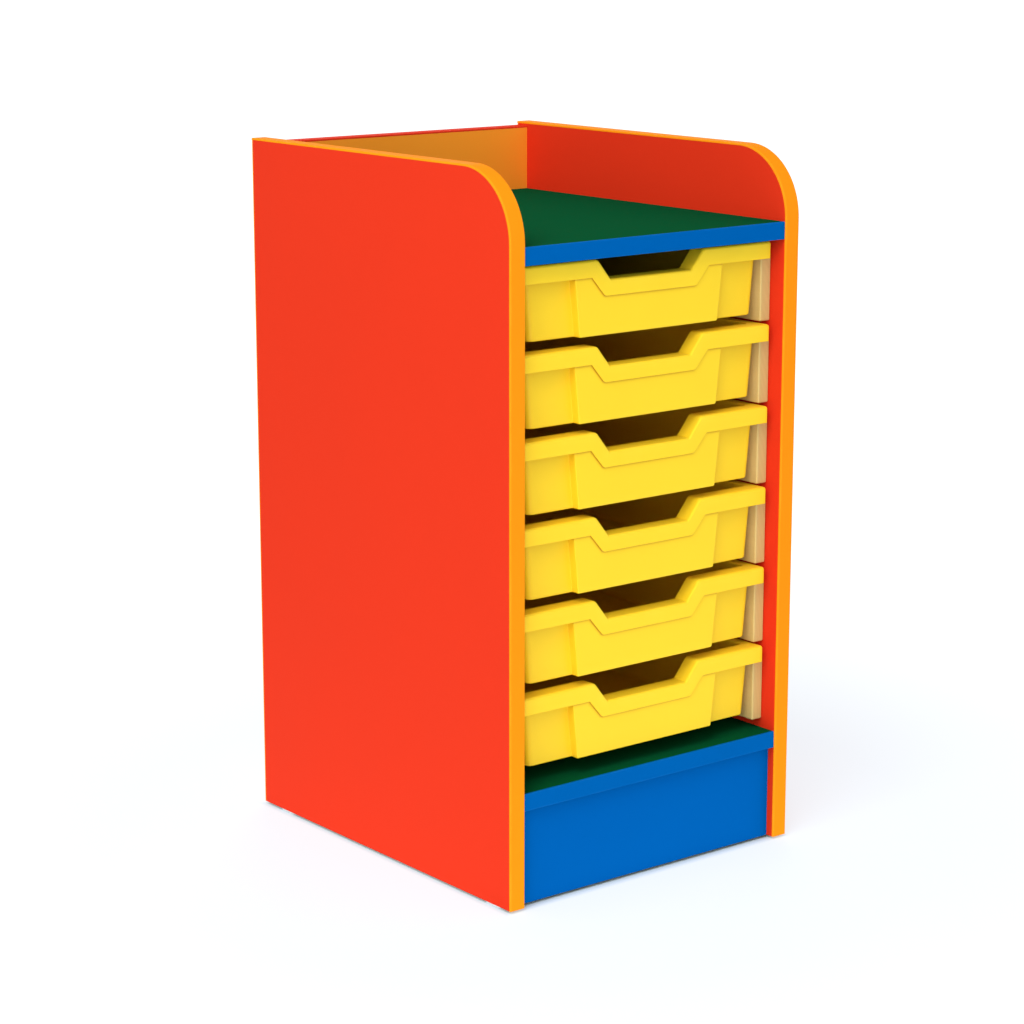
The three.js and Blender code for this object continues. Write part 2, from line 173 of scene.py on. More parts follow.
def mouldedGroup():  # moulded plastic: slow flow streaks and a spark-eroded grain
    inputs = {"Colour": (1.0, 1.0, 1.0, 1.0), "Mottle": 0.02, "Roughness": 0.4, "Unevenness": 0.05}
    tree, entry, leave = newGroup("mouldedSkin", inputs, {"Colour": tuple, "Roughness": float, "Height": float})
    flow = noise(tree, objectPlace(tree, (1.0, 1.0, 0.45)), 14.0, 4.0, 0.45)
    grain = noise(tree, objectPlace(tree), 1100.0, 2.0)
    ripple = noise(tree, objectPlace(tree), 75.0, 1.0)
    value = around(tree, flow, 1.0, entry["Mottle"])
    shade = addNode(tree, "ShaderNodeHueSaturation", {"Color": entry["Colour"], "Value": value})
    tree.links.new(shade.outputs["Color"], leave["Colour"])
    tree.links.new(around(tree, flow, entry["Roughness"], entry["Unevenness"]), leave["Roughness"])
    height = math2(tree, "ADD", math2(tree, "MULTIPLY", grain, 0.5), math2(tree, "MULTIPLY", ripple, 0.5))
    tree.links.new(height, leave["Height"])
    return tree


def creaseGroup():  # shade gathered in a tight corner, from a vertex mark
    tree, entry, leave = newGroup("creaseShade", {"Amount": 0.5}, {"Mask": float})
    mark = addNode(tree, "ShaderNodeAttribute", attribute_name="crease").outputs["Fac"]
    soft = math2(tree, "POWER", mark, 2.0)
    tree.links.new(math2(tree, "MULTIPLY", soft, entry["Amount"]), leave["Mask"])
    return tree


def rubSheenGroup():  # lighter rounded edges, part painted highlight and part wear where hands and neighbours rub: a vertex mark broken up by noise
    tree, entry, leave = newGroup("edgeRubSheen", {"Amount": 0.5, "Patch": 60.0}, {"Mask": float})
    mark = addNode(tree, "ShaderNodeAttribute", attribute_name="rubSheen").outputs["Fac"]
    place = objectPlace(tree)
    patches = noise(tree, place, entry["Patch"], 4.0, 0.6)
    broken = ranged(tree, patches, 0.35, 0.7, 0.15, 1.0)
    mask = math2(tree, "MULTIPLY", math2(tree, "MULTIPLY", mark, broken), entry["Amount"])
    tree.links.new(mask, leave["Mask"])
    return tree


def woodGroup():  # long grain along Y, with pores
    inputs = {"Pale": (0.8, 0.55, 0.25, 1.0), "Dark": (0.5, 0.3, 0.1, 1.0), "Contrast": 0.5, "Roughness": 0.55}
    tree, entry, leave = newGroup("woodGrain", inputs, {"Colour": tuple, "Roughness": float, "Height": float})
    growth = noise(tree, objectPlace(tree, (1.0, 0.035, 1.0)), 95.0, 5.0, 0.6)
    fibres = noise(tree, objectPlace(tree, (1.0, 0.02, 1.0)), 620.0, 3.0, 0.6)
    pores = ranged(tree, noise(tree, objectPlace(tree, (1.0, 0.06, 1.0)), 900.0, 1.0), 0.62, 0.74, 0.0, 1.0)
    bands = math2(tree, "ADD", math2(tree, "MULTIPLY", growth, 0.65), math2(tree, "MULTIPLY", fibres, 0.35))
    spread = math2(tree, "MULTIPLY", ranged(tree, bands, 0.3, 0.7, 0.0, 1.0), entry["Contrast"])
    colour = blendColour(tree, spread, entry["Pale"], entry["Dark"])
    colour = blendColour(tree, math2(tree, "MULTIPLY", pores, 0.25), colour, entry["Dark"])
    tree.links.new(colour, leave["Colour"])
    tree.links.new(around(tree, fibres, entry["Roughness"], 0.08), leave["Roughness"])
    height = math2(tree, "SUBTRACT", fibres, math2(tree, "MULTIPLY", pores, 0.6))
    tree.links.new(height, leave["Height"])
    return tree


def endGrainGroup():  # cut fibre ends: arcs of growth and fine dots
    inputs = {"Pale": (0.7, 0.45, 0.2, 1.0), "Dark": (0.4, 0.22, 0.08, 1.0), "Contrast": 0.5, "Roughness": 0.65}
    tree, entry, leave = newGroup("endGrain", inputs, {"Colour": tuple, "Roughness": float, "Height": float})
    place = objectPlace(tree, (1.0, 0.0, 0.35))
    waves = addNode(tree, "ShaderNodeTexWave", {
        "Vector": place, "Scale": 75.0, "Distortion": 2.2, "Detail": 2.0, "Detail Scale": 1.5,
    }, wave_type="RINGS", rings_direction="Y").outputs["Fac"]
    dots = noise(tree, objectPlace(tree, (1.0, 0.0, 1.0)), 1300.0, 1.0)
    tone = math2(tree, "ADD", math2(tree, "MULTIPLY", waves, 0.55), math2(tree, "MULTIPLY", dots, 0.45))
    spread = math2(tree, "MULTIPLY", tone, entry["Contrast"])
    tree.links.new(blendColour(tree, spread, entry["Pale"], entry["Dark"]), leave["Colour"])
    tree.links.new(around(tree, dots, entry["Roughness"], 0.08), leave["Roughness"])
    tree.links.new(dots, leave["Height"])
    return tree


def chipGroup():  # pressed chips of a raw board edge
    inputs = {"Pale": (0.62, 0.42, 0.22, 1.0), "Dark": (0.2, 0.11, 0.05, 1.0)}
    tree, entry, leave = newGroup("chipCore", inputs, {"Colour": tuple, "Roughness": float, "Height": float})
    place = objectPlace(tree)
    chips = addNode(tree, "ShaderNodeTexVoronoi", {"Vector": place, "Scale": 420.0, "Randomness": 1.0})
    gaps = ranged(tree, chips.outputs["Distance"], 0.25, 0.75, 0.0, 1.0)
    tint = addNode(tree, "ShaderNodeSeparateColor", {"Color": chips.outputs["Color"]}).outputs["Red"]
    spread = math2(tree, "ADD", math2(tree, "MULTIPLY", tint, 0.45), math2(tree, "MULTIPLY", gaps, 0.45))
    tree.links.new(blendColour(tree, spread, entry["Pale"], entry["Dark"]), leave["Colour"])
    tree.links.new(ranged(tree, gaps, 0.0, 1.0, 0.75, 0.92), leave["Roughness"])
    tree.links.new(math2(tree, "SUBTRACT", 1.0, gaps), leave["Height"])
    return tree


groups = {
    "faced": facedBoardGroup(),
    "moulded": mouldedGroup(),
    "crease": creaseGroup(),
    "rubSheen": rubSheenGroup(),
    "wood": woodGroup(),
    "endGrain": endGrainGroup(),
    "chip": chipGroup(),
}
print("node groups built:", len(groups))


# finishes

def placeGroup(tree, key, values):
    made = tree.nodes.new("ShaderNodeGroup")
    made.node_tree = groups[key]
    for label, value in values.items():
        made.inputs[label].default_value = value
    return made.outputs


def newFinish(name, specular, metallic=0.0):
    material = bpy.data.materials.new(name)
    material.use_nodes = True
    tree = material.node_tree
    shader = tree.nodes["Principled BSDF"]
    shader.inputs["Specular IOR Level"].default_value = specular
    shader.inputs["Metallic"].default_value = metallic
    return material, tree, shader


def addRelief(tree, shader, height, strength, distance):
    inputs = {"Height": height, "Strength": strength, "Distance": distance}
    bump = addNode(tree, "ShaderNodeBump", inputs)
    tree.links.new(bump.outputs["Normal"], shader.inputs["Normal"])


def surfaceFinish(name, key, values, specular, relief, reliefDepth, rubSheen=None, crease=None):
    material, tree, shader = newFinish(name, specular)
    skin = placeGroup(tree, key, values)
    colour = skin["Colour"]
    # lighter edge colour: painted highlight on rounded edges, together with wear
    if rubSheen:
        mask = placeGroup(tree, "rubSheen", {"Amount": rubSheen["amount"], "Patch": rubSheen["patch"]})["Mask"]
        colour = blendColour(tree, mask, colour, rubSheen["colour"])
    if crease:
        mask = placeGroup(tree, "crease", {"Amount": crease["amount"]})["Mask"]
        colour = blendColour(tree, mask, colour, crease["colour"])
    tree.links.new(colour, shader.inputs["Base Color"])
    tree.links.new(skin["Roughness"], shader.inputs["Roughness"])
    addRelief(tree, shader, skin["Height"], relief, reliefDepth)
    return material


def boardFinish(name, colour, shine=0.02):
    values = {"Colour": (*colour, 1.0), "Mottle": 0.03, "Roughness": 0.5, "Unevenness": 0.06}
    return surfaceFinish(name, "faced", values, shine, 0.12, 0.2 * mm)


def stripFinish(name, colour, rubSheenColour):
    values = {"Colour": (*colour, 1.0), "Mottle": 0.025, "Roughness": 0.42, "Unevenness": 0.06}
    # rounded edges lightened: painted highlight and wear
    rubSheen = {"amount": 0.3, "patch": 45.0, "colour": (*rubSheenColour, 1.0)}
    return surfaceFinish(name, "moulded", values, 0.003, 0.08, 0.15 * mm, rubSheen)


def trayFinish(name, colour, rubSheenColour, shaded):
    values = {"Colour": (*colour, 1.0), "Mottle": 0.025, "Roughness": 0.4, "Unevenness": 0.06}
    # rim's rounded edges lightened: painted highlight and wear
    rubSheen = {"amount": 0.22, "patch": 40.0, "colour": (*rubSheenColour, 1.0)}
    crease = {"amount": 0.95, "colour": (*shaded, 1.0)}
    return surfaceFinish(name, "moulded", values, 0.18, 0.07, 0.15 * mm, rubSheen, crease)


def glideFinish(name):
    values = {"Colour": (0.78, 0.79, 0.78, 1.0), "Mottle": 0.03, "Roughness": 0.5, "Unevenness": 0.05}
    return surfaceFinish(name, "moulded", values, 0.3, 0.08, 0.15 * mm)


def timberFinish(name, key, pale, dark, contrast, rough):
    values = {"Pale": (*pale, 1.0), "Dark": (*dark, 1.0), "Contrast": contrast, "Roughness": rough}
    return surfaceFinish(name, key, values, 0.2, 0.15, 0.2 * mm)


def chipFinish(name):
    values = {"Pale": (0.58, 0.4, 0.2, 1.0), "Dark": (0.16, 0.09, 0.04, 1.0)}
    return surfaceFinish(name, "chip", values, 0.15, 0.4, 0.4 * mm)


def zincFinish(name):
    material, tree, shader = newFinish(name, 0.5, 1.0)
    values = {"Colour": (0.62, 0.64, 0.66, 1.0), "Mottle": 0.08, "Roughness": 0.34, "Unevenness": 0.1}
    skin = placeGroup(tree, "moulded", values)
    tree.links.new(skin["Colour"], shader.inputs["Base Color"])
    tree.links.new(skin["Roughness"], shader.inputs["Roughness"])
    addRelief(tree, shader, skin["Height"], 0.1, 0.1 * mm)
    return material


finishes = {
    "redBoard": boardFinish("red_faced_board", (0.742, 0.035, 0.0104)),
    "amberBoard": boardFinish("amber_faced_board", (1.0, 0.34, 0.026)),
    "greenBoard": boardFinish("green_faced_board", (0.002, 0.0798, 0.025), 0.0002),
    "blueBoard": boardFinish("blue_faced_board", (0.0, 0.11, 0.41), 0.003),
    "amberStrip": stripFinish("amber_edge_strip", (1.0, 0.286, 0.0073), (1.0, 0.36, 0.022)),
    "blueStrip": stripFinish("blue_edge_strip", (0.0, 0.109, 0.388), (0.011, 0.152, 0.49)),
    "redStrip": stripFinish("red_edge_strip", (0.745, 0.0355, 0.0112), (0.87, 0.076, 0.038)),
    "trayPlastic": trayFinish("yellow_tray_plastic", (1.0, 0.652, 0.02), (1.0, 0.732, 0.048), (0.59, 0.266, 0.0086)),
    "runnerSide": timberFinish("runner_long_grain", "wood", (0.71, 0.522, 0.2), (0.6, 0.417, 0.149), 0.45, 0.5),
    "runnerEnd": timberFinish("runner_end_grain", "endGrain", (0.672, 0.493, 0.181), (0.566, 0.397, 0.133), 0.4, 0.6),
    "dowelBeech": timberFinish("beech_dowel", "wood", (0.72, 0.46, 0.22), (0.5, 0.29, 0.12), 0.6, 0.7),
    "chipCore": chipFinish("raw_chip_core"),
    "zincSteel": zincFinish("zinc_screw_steel"),
    "glidePlastic": glideFinish("white_glide_plastic"),
}
print("finishes built:", len(finishes))


# studio

studio = {
    "floorReach": 60.0,
    "whiteFrom": 0.45,  # metres from the middle where the floor starts to fade to plain white
    "whiteBy": 1.4,
    "shadowHide": 0.6,  # share of plain white that the floor shows near the unit
    "whiteLevel": 1.18,
    "contactReach": 0.007,  # the floor's own shadow deepens over this way in under the unit
    "contactStart": 0.006,  # from this far outside it
    "plinthShade": 0.005,  # and starts this far ahead of the plinth
    "glow": 0.6,  # share of even light that the floor sends back to the unit
    "glowReach": 1.6,
    "glowLevel": 2.0,
    "floorColour": (0.62, 0.775, 0.89, 1.0),
    "ambient": 0.57,
    "ambientColour": (0.92, 0.97, 1.06, 1.0),
    "lampColour": (1.0, 0.985, 0.955),
    "lampAim": (0.0, 0.0, 0.35),
    "lamps": {
        "key_box": {"place": (-3.3, -2.7, 1.75), "size": 2.4, "watts": 31.0, "mirrored": True},
        "front_box": {"place": (-1.8, -3.2, 0.35), "size": 1.1, "watts": 24.0, "mirrored": True},
        "upper_box": {"place": (-2.1, -1.1, 3.0), "size": 2.0, "watts": 75.0, "mirrored": False},
        "rear_box": {"place": (2.7, 3.0, 1.7), "size": 2.2, "watts": 55.0, "mirrored": False},
    },
}


def seenDirectly(tree):  # by the camera, or mirrored in metal or glass
    rays = addNode(tree, "ShaderNodeLightPath").outputs
    mirrored = math2(tree, "MAXIMUM", rays["Is Glossy Ray"], rays["Is Transmission Ray"])
    return math2(tree, "MAXIMUM", rays["Is Camera Ray"], mirrored)


def addFloor(spec):
    mesh = bpy.data.meshes.new("studio_floor")
    reach = spec["floorReach"]
    corners = [(-reach, -reach, 0.0), (reach, -reach, 0.0), (reach, reach, 0.0), (-reach, reach, 0.0)]
    mesh.from_pydata(corners, [], [(0, 1, 2, 3)])
    floor = bpy.data.objects.new("studio_floor", mesh)
    scene.collection.objects.link(floor)
    material = bpy.data.materials.new("studio_floor")
    material.use_nodes = True
    tree = material.node_tree
    tree.nodes.clear()
    place = addNode(tree, "ShaderNodeNewGeometry").outputs["Position"]
    away = addNode(tree, "ShaderNodeVectorMath", {0: place}, operation="LENGTH").outputs["Value"]
    cover = ranged(tree, away, spec["whiteFrom"], spec["whiteBy"], spec["shadowHide"], 1.0)
    axes = addNode(tree, "ShaderNodeSeparateXYZ", {"Vector": place}).outputs
    besideX = math2(tree, "SUBTRACT", math2(tree, "ABSOLUTE", axes["X"], 0.0), cadBox[1].x)
    ahead = math2(tree, "SUBTRACT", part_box("plinth")[0].y - spec["plinthShade"], axes["Y"])
    behind = math2(tree, "SUBTRACT", axes["Y"], cadBox[1].y)
    outside = math2(tree, "MAXIMUM", besideX, math2(tree, "MAXIMUM", ahead, behind))
    beside = ranged(tree, outside, -spec["contactReach"], spec["contactStart"], 0.0, 1.0)
    glow = ranged(tree, away, 0.0, spec["glowReach"], spec["glow"], 0.0)
    seen = seenDirectly(tree)
    share = ranged(tree, seen, 0.0, 1.0, glow, cover)
    level = ranged(tree, seen, 0.0, 1.0, spec["glowLevel"], spec["whiteLevel"])
    factor = math2(tree, "MULTIPLY", share, beside)
    matt = addNode(tree, "ShaderNodeBsdfDiffuse", {"Color": spec["floorColour"]}).outputs["BSDF"]
    white = addNode(tree, "ShaderNodeEmission", {"Color": (1.0, 1.0, 1.0, 1.0), "Strength": level})
    mixed = addNode(tree, "ShaderNodeMixShader", {0: factor, 1: matt, 2: white.outputs["Emission"]})
    addNode(tree, "ShaderNodeOutputMaterial", {"Surface": mixed.outputs["Shader"]})
    mesh.materials.append(material)


def addWorld(spec):
    world = bpy.data.worlds.new("studio_world")
    scene.world = world
    world.use_nodes = True
    tree = world.node_tree
    seen = seenDirectly(tree)
    back = tree.nodes["Background"].inputs
    tree.links.new(blendColour(tree, seen, spec["ambientColour"], (1.0, 1.0, 1.0, 1.0)), back["Color"])
    tree.links.new(ranged(tree, seen, 0.0, 1.0, spec["ambient"], 1.0), back["Strength"])


def addLamps(spec):
    for name, lamp in spec["lamps"].items():
        data = bpy.data.lights.new(name, "AREA")
        data.size = lamp["size"]
        data.energy = lamp["watts"]
        data.color = spec["lampColour"]
        holder = bpy.data.objects.new(name, data)
        holder.location = lamp["place"]
        holder.visible_glossy = lamp["mirrored"]
        holder.rotation_euler = (Vector(spec["lampAim"]) - holder.location).to_track_quat("-Z", "Y").to_euler()
        scene.collection.objects.link(holder)


addFloor(studio)
addWorld(studio)
addLamps(studio)
print("studio lit:", len(studio["lamps"]), "lamps")


# meshes

def newPiece(name, mesh, body, slot, nodes, *materials):
    for material in materials:
        mesh.materials.append(material)
    piece = bpy.data.objects.new(name, mesh)
    scene.collection.objects.link(piece)
    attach(piece, body)
    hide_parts(*nodes)
    return piece


def meshFrom(name, form):
    bmesh.ops.recalc_face_normals(form, faces=form.faces[:])
    mesh = bpy.data.meshes.new(name)
    form.to_mesh(mesh)
    form.free()
    return mesh


def smooth(mesh, degrees=38.0):
    mesh.polygons.foreach_set("use_smooth", [True] * len(mesh.polygons))
    mesh.set_sharp_from_angle(angle=math.radians(degrees))


def evenShading(piece):  # large faces keep flat shading beside small rounds
    shading = piece.modifiers.new("even_shading", "WEIGHTED_NORMAL")
    shading.keep_sharp = True


def markVerts(mesh, name, values):
    mark = mesh.attributes.new(name, "FLOAT", "POINT")
    mark.data.foreach_set("value", values)


def boxForm(low, high):
    form = bmesh.new()
    bmesh.ops.create_cube(form, size=1.0)
    middle = (Vector(low) + Vector(high)) / 2
    span = Vector(high) - Vector(low)
    for vert in form.verts:
        vert.co = Vector(a * b for a, b in zip(vert.co, span)) + middle
    return form


def roundEdges(form, edges, radius, steps):
    bmesh.ops.bevel(form, geom=edges, offset=radius, segments=steps, profile=0.5, affect="EDGES")


def paintSides(mesh, directions, index):
    for face in mesh.polygons:
        if any(face.normal.dot(Vector(direction)) > 0.9 for direction in directions):
            face.material_index = index


def skinOf(form, rings, closed=True):  # quads between rings of equal length
    rows = [[form.verts.new(point) for point in ring] for ring in rings]
    count = len(rings[0])
    last = count if closed else count - 1
    for lower, upper in zip(rows, rows[1:]):
        for i in range(last):
            j = (i + 1) % count
            form.faces.new((lower[i], lower[j], upper[j], upper[i]))
    return rows


def cutAway(mesh, cutters):  # boolean cuts, baked into a new mesh
    holder = bpy.data.objects.new("cut_work", mesh)
    scene.collection.objects.link(holder)
    tools = []
    for cutter in cutters:
        tool = bpy.data.objects.new("cut_tool", cutter)
        scene.collection.objects.link(tool)
        tools.append(tool)
        step = holder.modifiers.new("cut", "BOOLEAN")
        step.object = tool
        step.operation = "DIFFERENCE"
        step.solver = "EXACT"
    bpy.context.view_layer.update()
    ready = holder.evaluated_get(bpy.context.evaluated_depsgraph_get())
    result = bpy.data.meshes.new_from_object(ready)
    for item in (holder, *tools):
        bpy.data.objects.remove(item)
    return result


def latheForm(profile, steps):  # profile of (radius, along) about X, from axis to axis
    form = bmesh.new()
    rings = []
    for radius, along in profile[1:-1]:
        turns = [2 * math.pi * step / steps for step in range(steps)]
        rings.append([(along, radius * math.cos(turn), radius * math.sin(turn)) for turn in turns])
    rows = skinOf(form, rings)
    for row, (_, along) in ((rows[0], profile[0]), (rows[-1], profile[-1])):
        tip = form.verts.new((along, 0.0, 0.0))
        for i, vert in enumerate(row):
            form.faces.new((vert, row[(i + 1) % steps], tip))
    return form


def arcPoints(centre, radius, start, end, steps):
    points = []
    for step in range(steps + 1):
        turn = start + (end - start) * step / steps
        points.append((centre[0] + radius * math.cos(turn), centre[1] + radius * math.sin(turn)))
    return points


# side panels and the strips round them

sidePanel = {
    "cornerRadius": 72 * mm,
    "arcSteps": 28,
    "ease": 0.25 * mm,
    "stripThickness": 2 * mm,
    "stripRound": 1.1 * mm,
    "stripRoundSteps": 4,
    "stripJoint": 0.12 * mm,  # where the rear strip butts under the top one
}


def sidePanelPiece(side):
    node = side + "_side_panel"
    low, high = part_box(node)
    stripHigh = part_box(side + "_side_edge_band")[1]
    radius = sidePanel["cornerRadius"] - (stripHigh.z - high.z)
    centre = (low.y + radius, high.z - radius)
    outline = [(low.y, low.z), (high.y, low.z), (high.y, high.z)]
    outline += arcPoints(centre, radius, math.pi / 2, math.pi, sidePanel["arcSteps"])
    form = bmesh.new()
    face = form.faces.new([form.verts.new((low.x, y, z)) for y, z in outline])
    grown = bmesh.ops.extrude_face_region(form, geom=[face])["geom"]
    moved = [item for item in grown if isinstance(item, bmesh.types.BMVert)]
    bmesh.ops.translate(form, verts=moved, vec=(high.x - low.x, 0.0, 0.0))
    bmesh.ops.recalc_face_normals(form, faces=form.faces[:])
    rims = [edge for edge in form.edges if edge.calc_face_angle(0.0) > 1.0]
    roundEdges(form, rims, sidePanel["ease"], 2)
    mesh = meshFrom(node, form)
    paintSides(mesh, [(0, 0, -1)], 1)
    smooth(mesh)
    piece = newPiece(node, mesh, "carcass", "red_board", [node], finishes["redBoard"], finishes["chipCore"])
    evenShading(piece)


def stripSection(x0, x1, thickness):  # (x, depth) round the section, the outer corners rounded
    radius = sidePanel["stripRound"]
    steps = sidePanel["stripRoundSteps"]
    support = 2 * radius
    left = arcPoints((x0 + radius, radius), radius, math.pi, 1.5 * math.pi, steps)
    right = arcPoints((x1 - radius, radius), radius, -0.5 * math.pi, 0.0, steps)
    section = [(x0, thickness)] + left + [(x0 + support, 0.0), (x1 - support, 0.0)] + right + [(x1, thickness)]
    # rounded corners marked for the lighter edge colour: painted highlight and wear
    rubSheen = [0.0] + [1.0] * len(left) + [0.0, 0.0] + [1.0] * len(right) + [0.0]
    return section, rubSheen


def sweepStrip(form, path, section):  # path of (y, z, inward y, inward z)
    rings = []
    for y, z, inY, inZ in path:
        rings.append([(x, y + inY * depth, z + inZ * depth) for x, depth in section])
    rows = skinOf(form, rings)
    form.faces.new(rows[0])
    form.faces.new(rows[-1])


def sideStripPiece(side):
    node = side + "_side_edge_band"
    low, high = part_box(node)
    thickness = sidePanel["stripThickness"]
    radius = sidePanel["cornerRadius"]
    centre = (low.y + radius, high.z - radius)
    section, rubSheen = stripSection(low.x, high.x, thickness)
    path = [(low.y, low.z, 1.0, 0.0)]
    for step in range(sidePanel["arcSteps"] + 1):
        turn = math.pi - (math.pi / 2) * step / sidePanel["arcSteps"]
        outY, outZ = math.cos(turn), math.sin(turn)
        path.append((centre[0] + radius * outY, centre[1] + radius * outZ, -outY, -outZ))
    path.append((high.y, high.z, 0.0, -1.0))
    rearTop = high.z - thickness - sidePanel["stripJoint"]
    rearPath = [(high.y, rearTop, -1.0, 0.0), (high.y, low.z, -1.0, 0.0)]
    form = bmesh.new()
    sweepStrip(form, path, section)
    sweepStrip(form, rearPath, section)
    mesh = meshFrom(node, form)
    # marks the rounded corners for the painted highlight and wear
    markVerts(mesh, "rubSheen", rubSheen * (len(path) + len(rearPath)))
    smooth(mesh)
    piece = newPiece(node, mesh, "carcass", "amber_edge", [node], finishes["amberStrip"])
    evenShading(piece)


for side in sides:
    sidePanelPiece(side)
    sideStripPiece(side)
print("side panels built")


# boards between the sides

innerBoards = {
    "ease": 0.25 * mm,
    "stripRound": 0.9 * mm,
    "boards": {  # finish, record slot and the raw sides
        "top_shelf": ("greenBoard", "green_board", []),
        "bottom_shelf": ("greenBoard", "green_board", []),
        "plinth": ("blueBoard", "blue_board", [(0, 0, -1)]),
        "back_panel": ("amberBoard", "amber_board", [(0, 0, -1)]),
    },
    "strips": {  # finish, record slot and the way the strip faces
        "top_shelf_edge_band": ("blueStrip", "blue_edge", (0, -1, 0)),
        "bottom_shelf_edge_band": ("blueStrip", "blue_edge", (0, -1, 0)),
        "back_panel_edge_band": ("redStrip", "red_edge", (0, 0, 1)),
    },
}


def innerBoardPiece(node, finish, slot, rawSides):
    form = boxForm(*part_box(node))
    roundEdges(form, form.edges[:], innerBoards["ease"], 2)
    mesh = meshFrom(node, form)
    paintSides(mesh, rawSides, 1)
    smooth(mesh)
    piece = newPiece(node, mesh, "carcass", slot, [node], finishes[finish], finishes["chipCore"])
    evenShading(piece)


def innerStripPiece(node, finish, slot, facing):
    low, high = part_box(node)
    radius = innerBoards["stripRound"]
    support = 2 * radius
    acrossIsZ = facing[1] != 0  # the strip faces forward, so its section runs up Z
    near, far = (low.z, high.z) if acrossIsZ else (low.y, high.y)
    section = [(near, high.y - low.y if acrossIsZ else high.z - low.z)]
    first = arcPoints((near + radius, radius), radius, math.pi, 1.5 * math.pi, 4)
    second = arcPoints((far - radius, radius), radius, -0.5 * math.pi, 0.0, 4)
    section += first + [(near + support, 0.0), (far - support, 0.0)] + second + [(far, section[0][1])]
    # rounded corners marked for the lighter edge colour: painted highlight and wear
    rubSheen = [0.0] + [1.0] * len(first) + [0.0, 0.0] + [1.0] * len(second) + [0.0]
    rings = []
    for x in (low.x, high.x):
        if acrossIsZ:
            rings.append([(x, low.y + depth, across) for across, depth in section])
        else:
            rings.append([(x, across, high.z - depth) for across, depth in section])
    form = bmesh.new()
    rows = skinOf(form, rings)
    form.faces.new(rows[0])
    form.faces.new(rows[-1])
    mesh = meshFrom(node, form)
    # marks the rounded corners for the painted highlight and wear
    markVerts(mesh, "rubSheen", rubSheen * 2)
    smooth(mesh)
    piece = newPiece(node, mesh, "carcass", slot, [node], finishes[finish])
    evenShading(piece)


for node, (finish, slot, rawSides) in innerBoards["boards"].items():
    innerBoardPiece(node, finish, slot, rawSides)
for node, (finish, slot, facing) in innerBoards["strips"].items():
    innerStripPiece(node, finish, slot, facing)
print("inner boards built")


# runners and their screws

runner = {"round": 1.6 * mm, "roundSteps": 3}
screw = {
    "headRadius": 4.0 * mm,
    "headEdge": 0.3 * mm,
    "coreRadius": 1.5 * mm,
    "threadRadius": 2.0 * mm,
    "threadPitch": 1.8 * mm,
    "tip": 4.0 * mm,
    "sink": 0.4 * mm,
    "clearance": 0.3 * mm,
    "crossWidth": 1.1 * mm,
    "crossReach": 2.3 * mm,
    "crossDepth": 1.9 * mm,
    "steps": 28,
}


def crossCutter(turn):  # one tapered bar of the cross recess, deepest in the middle
    half = screw["crossWidth"] / 2
    reach = screw["crossReach"]
    above = 0.2 * mm
    outline = [(-above, reach), (0.0, reach), (screw["crossDepth"], half)]
    outline += [(along, -across) for along, across in reversed(outline)]
    form = bmesh.new()
    face = form.faces.new([form.verts.new((along, across, -half)) for along, across in outline])
    grown = bmesh.ops.extrude_face_region(form, geom=[face])["geom"]
    moved = [item for item in grown if isinstance(item, bmesh.types.BMVert)]
    bmesh.ops.translate(form, verts=moved, vec=(0.0, 0.0, 2 * half))
    bmesh.ops.rotate(form, verts=form.verts[:], cent=(0, 0, 0), matrix=Matrix.Rotation(turn, 3, "X"))
    return meshFrom("cross_cutter", form)


def screwMesh(length):  # head at 0, tip along +X
    head, edge = screw["headRadius"], screw["headEdge"]
    core, thread, pitch = screw["coreRadius"], screw["threadRadius"], screw["threadPitch"]
    neck = edge + head - thread
    profile = [(0.0, 0.0), (head - edge, 0.0), (head, edge), (thread, neck), (core, neck + pitch)]
    along = neck + 2 * pitch
    while along < length - screw["tip"]:
        profile += [(core, along - pitch / 4), (thread, along), (core, along + pitch / 4)]
        along += pitch
    profile += [(core, length - screw["tip"]), (core / 4, length - core / 4), (0.0, length)]
    mesh = meshFrom("screw_blank", latheForm(profile, screw["steps"]))
    return cutAway(mesh, [crossCutter(0.25 * math.pi), crossCutter(0.75 * math.pi)])


def countersinkMesh():
    head = screw["headRadius"] + screw["clearance"]
    shank = screw["threadRadius"] + screw["clearance"]
    rise, depth = screw["sink"] + 1 * mm, head - shank
    profile = [(0.0, -rise), (head, -rise), (head, 0.0), (shank, depth), (shank, 30 * mm), (0.0, 30 * mm)]
    return meshFrom("countersink", latheForm(profile, screw["steps"]))


def turnedTo(mesh, hand, place):  # +X of the mesh points out through the side panel
    made = mesh.copy()
    made.transform(Matrix.Translation(place) @ Matrix.Rotation(0.0 if hand > 0 else math.pi, 4, "Z"))
    return made


def runnerPiece(side, hand, row, sinkMesh):
    node = f"{side}_runner_{row}"
    low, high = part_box(node)
    form = boxForm(low, high)
    roundEdges(form, form.edges[:], runner["round"], runner["roundSteps"])
    blank = meshFrom(node + "_blank", form)
    headLow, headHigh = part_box(f"{side}_runner_screw_{row}")
    head = Vector((headLow.x if hand > 0 else headHigh.x, *((headLow + headHigh) / 2).yz))
    mesh = cutAway(blank, [turnedTo(sinkMesh, hand, head)])
    mesh.name = node
    paintSides(mesh, [(0, -1, 0), (0, 1, 0)], 1)
    smooth(mesh)
    piece = newPiece(node, mesh, "carcass", "runner_wood", [node], finishes["runnerSide"], finishes["runnerEnd"])
    evenShading(piece)
    return head


def screwPiece(side, hand, row, blank, head):
    node = f"{side}_runner_screw_{row}"
    mesh = turnedTo(blank, hand, head)
    mesh.name = node
    smooth(mesh, 30.0)
    newPiece(node, mesh, "carcass", "screw_steel", [node], finishes["zincSteel"])


